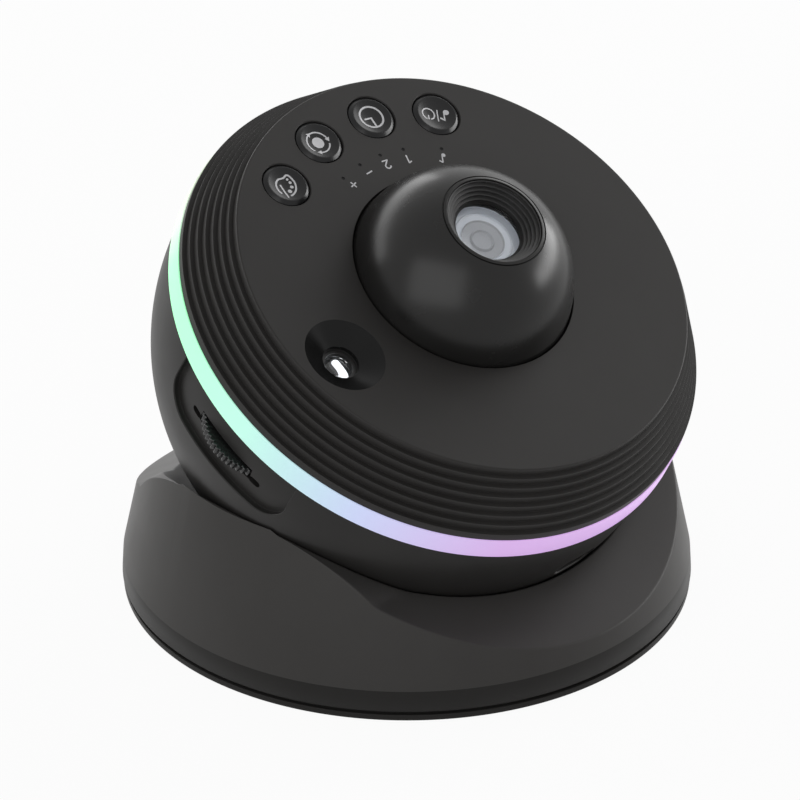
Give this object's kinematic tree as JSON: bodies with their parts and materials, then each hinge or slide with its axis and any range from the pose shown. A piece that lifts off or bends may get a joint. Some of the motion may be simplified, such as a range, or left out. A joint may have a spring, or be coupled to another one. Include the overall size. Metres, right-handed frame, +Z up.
{
  "type": "planetarium projector",
  "caption": "Round star projector with a lens dome, a stepped rim and a light ring, its head tilting in a sloped round cradle base.",
  "frame": {"origin": "centre of the base's underside, on the surface it stands on", "axes": "+Z up; the head leans towards -Y at rest, so the buttons are on the +Y side and the focus wheel is at -X"},
  "size_m": [0.1564, 0.1564, 0.1365],
  "materials": {
    "body_plastic": "matte",
    "dome_plastic": "satin",
    "baffle_plastic": "matte",
    "button_plastic": "gloss",
    "wheel_plastic": "satin",
    "inner_plastic": "matte",
    "gear_plastic": "satin",
    "light_diffuser": "satin",
    "foot_rubber": "matte",
    "lens_glass": "polished",
    "film": "gloss",
    "steel": "satin",
    "screw_steel": "satin",
    "plated_metal": "polished",
    "heat_sink_metal": "satin",
    "board_laminate": "satin",
    "electronics": "matte",
    "lamp_white": "gloss",
    "speaker_paper": "matte"
  },
  "bodies": {
    "base": {"base_shell": "body_plastic", "base_plate": "inner_plastic", "foot_ring": "foot_rubber", "base_screws": "screw_steel", "ballast_ring": "steel", "tilt_post": "steel", "post_screws": "screw_steel"},
    "head": {"lower_bowl": "body_plastic", "bowl_screws": "screw_steel", "upper_shell": "body_plastic", "shell_screws": "screw_steel", "light_ring": "light_diffuser", "ring_board": "board_laminate", "ring_leds": "lamp_white", "chassis_plate": "inner_plastic", "tilt_bracket": "steel", "friction_washers": "foot_rubber", "tilt_pin": "steel", "pin_nut": "steel", "dome": "dome_plastic", "lens_baffle": "baffle_plastic", "lens_barrel": "baffle_plastic", "front_lens": "lens_glass", "rear_lens": "lens_glass", "condenser_lens": "lens_glass", "condenser_holder": "inner_plastic", "heat_sink": "heat_sink_metal", "lamp_board": "board_laminate", "lamp_led": "lamp_white", "film_motor": "steel", "motor_clamp": "inner_plastic", "button_board": "board_laminate", "push_switches": "electronics", "indicator_pipes": "light_diffuser", "side_cup": "inner_plastic", "side_led": "electronics", "side_film": "film", "wheel_bracket": "inner_plastic", "main_board": "board_laminate", "board_parts": "electronics", "board_screws": "screw_steel", "usb_socket": "plated_metal", "speaker_basket": "steel", "speaker_cone": "speaker_paper"},
    "film": {"film_carrier": "gear_plastic", "film_disc": "film"},
    "motor_gear": {"motor_pinion": "gear_plastic"},
    "focus_knob": {"focus_wheel": "wheel_plastic", "focus_shaft": "gear_plastic"},
    "sleeve": {"focus_sleeve": "gear_plastic"},
    "side_cell": {"side_lens_cell": "baffle_plastic", "side_lens": "lens_glass"},
    "power_key": {"power_button": "button_plastic"},
    "timer_key": {"timer_button": "button_plastic"},
    "rotation_key": {"rotation_button": "button_plastic"},
    "colour_key": {"colour_button": "button_plastic"}
  },
  "joints": [
    {"name": "head_tilt", "type": "hinge", "parent": "base", "child": "head", "pos_m": [0, 0, 0.0666], "axis": [-1, 0, 0], "range_deg": [0, 60]},
    {"name": "film_turn", "type": "hinge", "parent": "head", "child": "film", "pos_m": [0, -0.01345, 0.0899], "axis": [0, -0.5, 0.866], "continuous": true},
    {"name": "motor_turn", "type": "hinge", "parent": "head", "child": "motor_gear", "pos_m": [0.01697, -0.03096, 0.07978], "axis": [0, -0.5, 0.866], "continuous": true},
    {"name": "focus_turn", "type": "hinge", "parent": "head", "child": "focus_knob", "pos_m": [-0.05932, -0.00245, 0.07084], "axis": [0, -0.5, 0.866], "range_deg": [-150, 150]},
    {"name": "sleeve_turn", "type": "hinge", "parent": "head", "child": "sleeve", "pos_m": [-0.05023, -0.01741, 0.08299], "axis": [0, -0.5, 0.866], "range_deg": [-98, 98]},
    {"name": "side_lens_focus", "type": "slide", "parent": "head", "child": "side_cell", "axis": [0, -0.5, 0.866], "range_m": [-0.001, 0.001]},
    {"name": "power_press", "type": "slide", "parent": "head", "child": "power_key", "axis": [0, 0.5, -0.866], "range_m": [0, 0.0008], "stiffness_N_per_m": 400},
    {"name": "timer_press", "type": "slide", "parent": "head", "child": "timer_key", "axis": [0, 0.5, -0.866], "range_m": [0, 0.0008], "stiffness_N_per_m": 400},
    {"name": "rotation_press", "type": "slide", "parent": "head", "child": "rotation_key", "axis": [0, 0.5, -0.866], "range_m": [0, 0.0008], "stiffness_N_per_m": 400},
    {"name": "colour_press", "type": "slide", "parent": "head", "child": "colour_key", "axis": [0, 0.5, -0.866], "range_m": [0, 0.0008], "stiffness_N_per_m": 400}
  ],
  "couplings": [
    {"joint": "motor_turn", "follows": "film_turn", "ratio": -4.5},
    {"joint": "sleeve_turn", "follows": "focus_turn", "ratio": -0.65217},
    {"joint": "side_lens_focus", "follows": "focus_turn", "m_per_rad": 0.00038}
  ]
}
